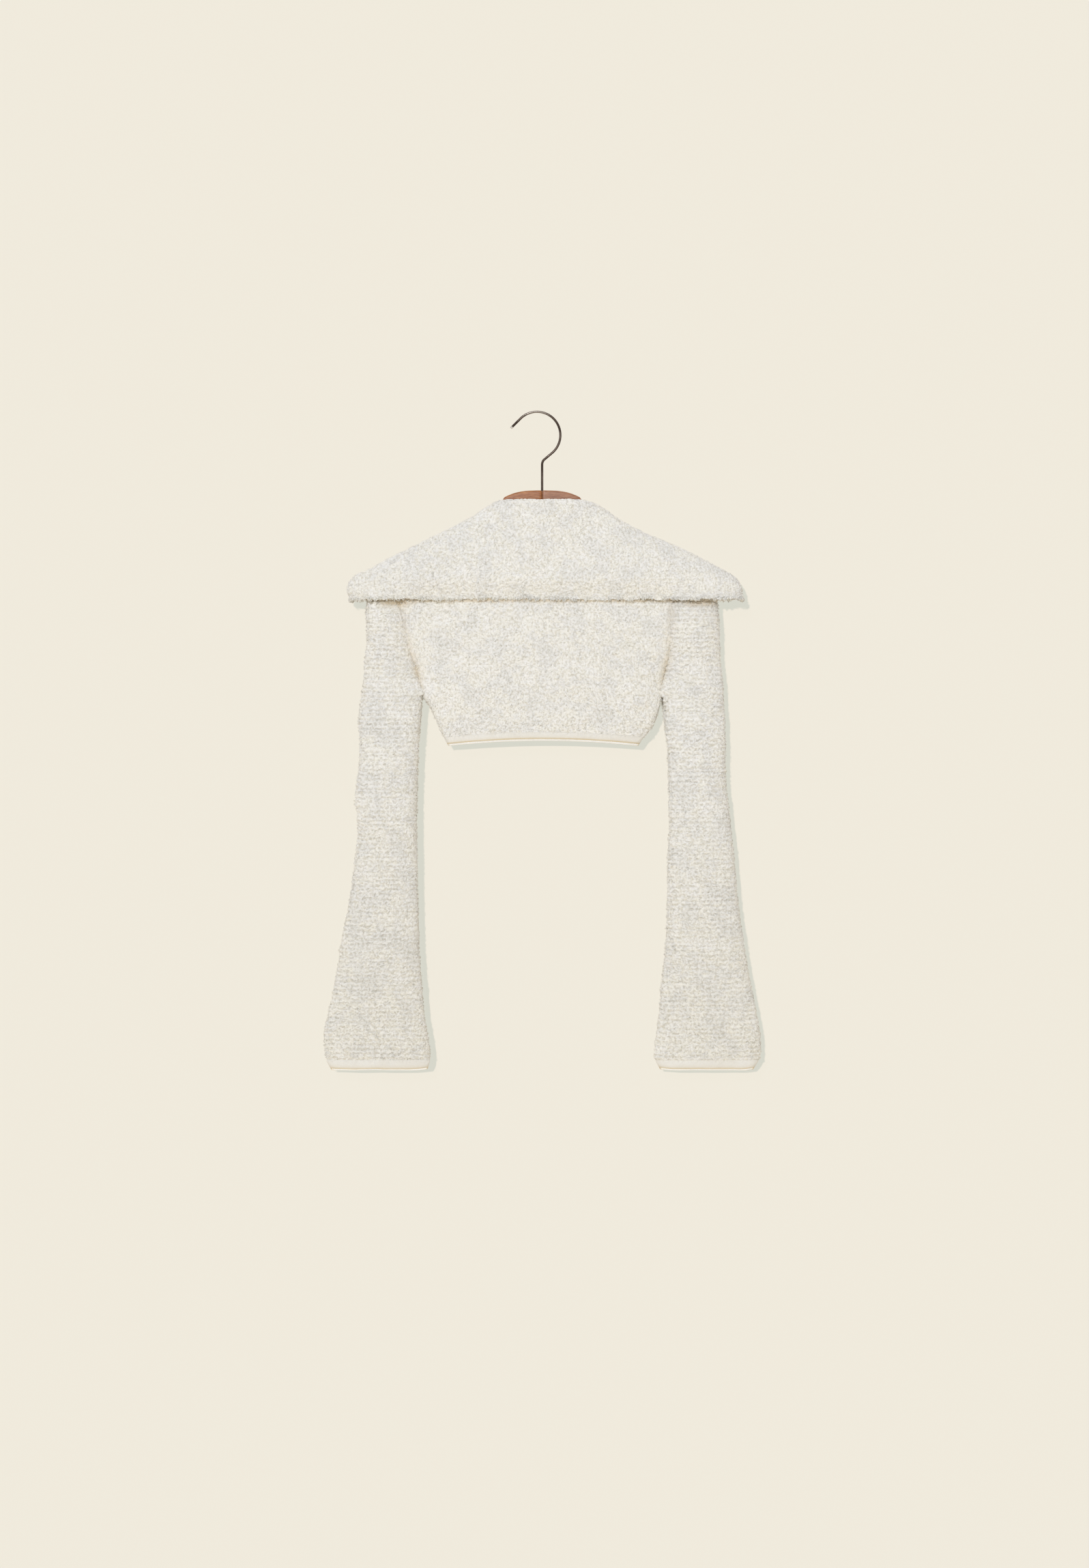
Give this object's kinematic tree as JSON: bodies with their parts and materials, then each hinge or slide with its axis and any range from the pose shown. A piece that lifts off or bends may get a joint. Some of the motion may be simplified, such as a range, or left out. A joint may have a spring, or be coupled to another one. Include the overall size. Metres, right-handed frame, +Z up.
{
  "type": "cropped knit sweater on a wooden hanger",
  "caption": "Short boucle sweater with a wide fold-over collar and long flared sleeves, hung flat on a wooden hanger with a wire hook.",
  "frame": {"origin": "the inner crown of the hanger's hook, where a rod carries it", "axes": "+Z up, +Y from the garment's front to its back, +X to the right seen from the front"},
  "size_m": [0.506, 0.066, 0.7736],
  "materials": {
    "knit": "off-white boucle knit, matt and fuzzy",
    "knit_band": "smooth fine knit band, matt",
    "wood_warm": "satin lacquered, warm brown",
    "wood_grey": "satin lacquered, greyer brown",
    "hook_steel": "dull nickel-plated wire"
  },
  "bodies": {
    "root": {"body_front": "knit", "body_back": "knit", "sleeve_left": "knit", "sleeve_right": "knit", "collar_front": "knit", "collar_back": "knit", "hem_band_front": "knit_band", "hem_band_back": "knit_band", "cuff_band_left": "knit_band", "cuff_band_right": "knit_band", "hanger_arm_left": "wood_warm", "hanger_arm_right": "wood_grey", "hanger_hook": "hook_steel"}
  },
  "joints": []
}
